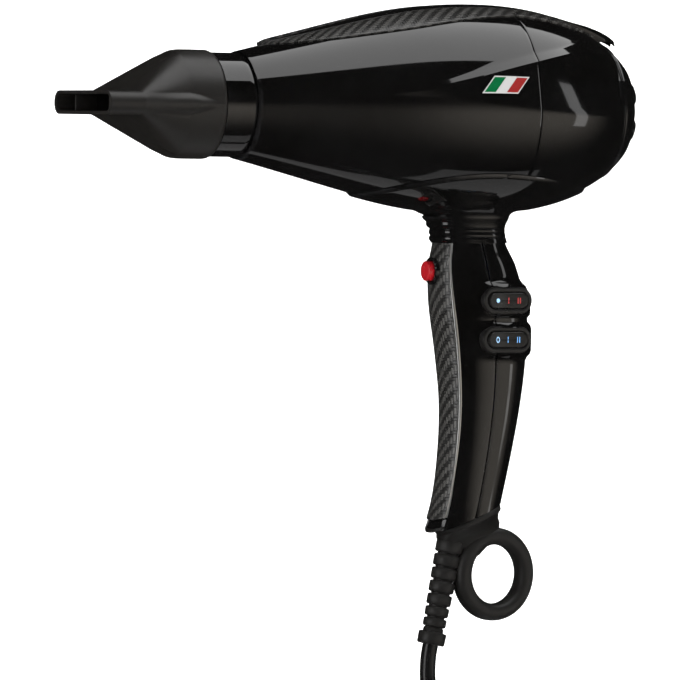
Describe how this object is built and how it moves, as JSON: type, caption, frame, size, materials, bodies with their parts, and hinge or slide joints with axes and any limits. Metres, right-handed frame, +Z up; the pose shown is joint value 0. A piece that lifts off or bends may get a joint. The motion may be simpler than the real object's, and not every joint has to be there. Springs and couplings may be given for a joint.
{
  "type": "hair dryer",
  "caption": "Hand-held hair dryer with a flared barrel, slot nozzle, rocker switches, cold-air button, hanging loop and coiled mains cord.",
  "frame": {"origin": "middle of the grip, on the axis of the handle, where a hand holds it", "axes": "-X the way the air leaves, +Z up from the grip to the barrel, +Y the side without switches"},
  "size_m": [0.2721, 0.0928, 0.4726],
  "materials": {
    "gloss_black": "high gloss moulded",
    "spine_black": "high gloss moulded",
    "weave_inlay": "clear over dark weave",
    "bright_trim": "satin bright",
    "satin_black": "satin moulded",
    "steel": "bright drawn",
    "mica": "pale mica",
    "nichrome": "oxidised wire",
    "brass": "plain",
    "duct_plastic": "heat-proof moulded",
    "fan_plastic": "moulded",
    "lamination": "stacked sheet",
    "copper": "enamelled wire",
    "carbon": "pressed graphite",
    "red_button": "gloss moulded",
    "switch_black": "satin moulded",
    "switch_blue": "moulded",
    "board_green": "solder mask",
    "wire_grey": "insulated wire",
    "rubber_black": "matte moulded",
    "cord_black": "semi-gloss sheath",
    "pin_metal": "nickel plated"
  },
  "bodies": {
    "casing": {"front_shell": "gloss_black", "rear_shell": "gloss_black", "neck": "gloss_black", "handle_front": "gloss_black", "handle_rear": "gloss_black", "front_spine": "spine_black", "rear_spine": "spine_black", "front_inlay_near": "weave_inlay", "front_inlay_far": "weave_inlay", "rear_inlay_near": "weave_inlay", "rear_inlay_far": "weave_inlay", "grip_inlay": "weave_inlay", "grip_trims": "bright_trim", "outlet_collar": "satin_black", "outlet_grille": "steel", "ion_needle": "steel", "mica_sleeve": "mica", "mica_board_upright": "mica", "mica_board_level": "mica", "heating_coils": "nichrome", "thermostat": "brass", "thermal_fuse": "steel", "fan_duct": "duct_plastic", "stator": "lamination", "field_coils": "copper", "front_bracket": "steel", "rear_bracket": "steel", "bearings": "brass", "carbon_brushes": "carbon", "button_bezel": "switch_black", "button_spring": "steel", "micro_switch": "switch_blue", "heat_switch": "switch_black", "speed_switch": "switch_black", "circuit_board": "board_green", "ion_module": "switch_blue", "wires": "wire_grey", "handle_screws": "steel", "cord_clamp": "duct_plastic", "clamp_screws": "steel", "inner_cord": "cord_black", "cord_boot": "rubber_black", "cord": "cord_black", "cord_coil": "cord_black", "cord_tie": "rubber_black", "plug_body": "cord_black", "plug_pins": "pin_metal"},
    "nozzle_carrier": {"snap_ring": "steel"},
    "nozzle": {"nozzle": "satin_black"},
    "filter_cover": {"filter_cover": "gloss_black", "filter_mesh": "steel"},
    "rotor": {"motor_shaft": "steel", "armature": "lamination", "commutator": "copper", "fan": "fan_plastic"},
    "cold_button": {"cold_button": "red_button"},
    "heat_rocker": {"heat_rocker": "switch_black"},
    "speed_rocker": {"speed_rocker": "switch_black"}
  },
  "joints": [
    {"name": "nozzle_pull", "type": "slide", "parent": "casing", "child": "nozzle_carrier", "axis": [-1, 0, 0], "range_m": [0, 0.022]},
    {"name": "nozzle_turn", "type": "hinge", "parent": "nozzle_carrier", "child": "nozzle", "pos_m": [-0.17, 0, 0.141], "axis": [1, 0, 0], "continuous": true},
    {"name": "cover_pull", "type": "slide", "parent": "casing", "child": "filter_cover", "axis": [1, 0, 0], "range_m": [0, 0.02]},
    {"name": "rotor_spin", "type": "hinge", "parent": "casing", "child": "rotor", "pos_m": [0.02, 0, 0.141], "axis": [1, 0, 0], "continuous": true},
    {"name": "cold_press", "type": "slide", "parent": "casing", "child": "cold_button", "axis": [1, 0, 0], "range_m": [0, 0.003], "stiffness_N_per_m": 400, "springref_m": -0.002, "deforming": ["button_spring"]},
    {"name": "heat_rock", "type": "hinge", "parent": "casing", "child": "heat_rocker", "pos_m": [0.00413, -0.01515, 0.0548], "axis": [0, 0, 1], "range_deg": [-9, 9]},
    {"name": "speed_rock", "type": "hinge", "parent": "casing", "child": "speed_rocker", "pos_m": [0.00413, -0.01515, 0.0371], "axis": [0, 0, 1], "range_deg": [-9, 9]}
  ]
}
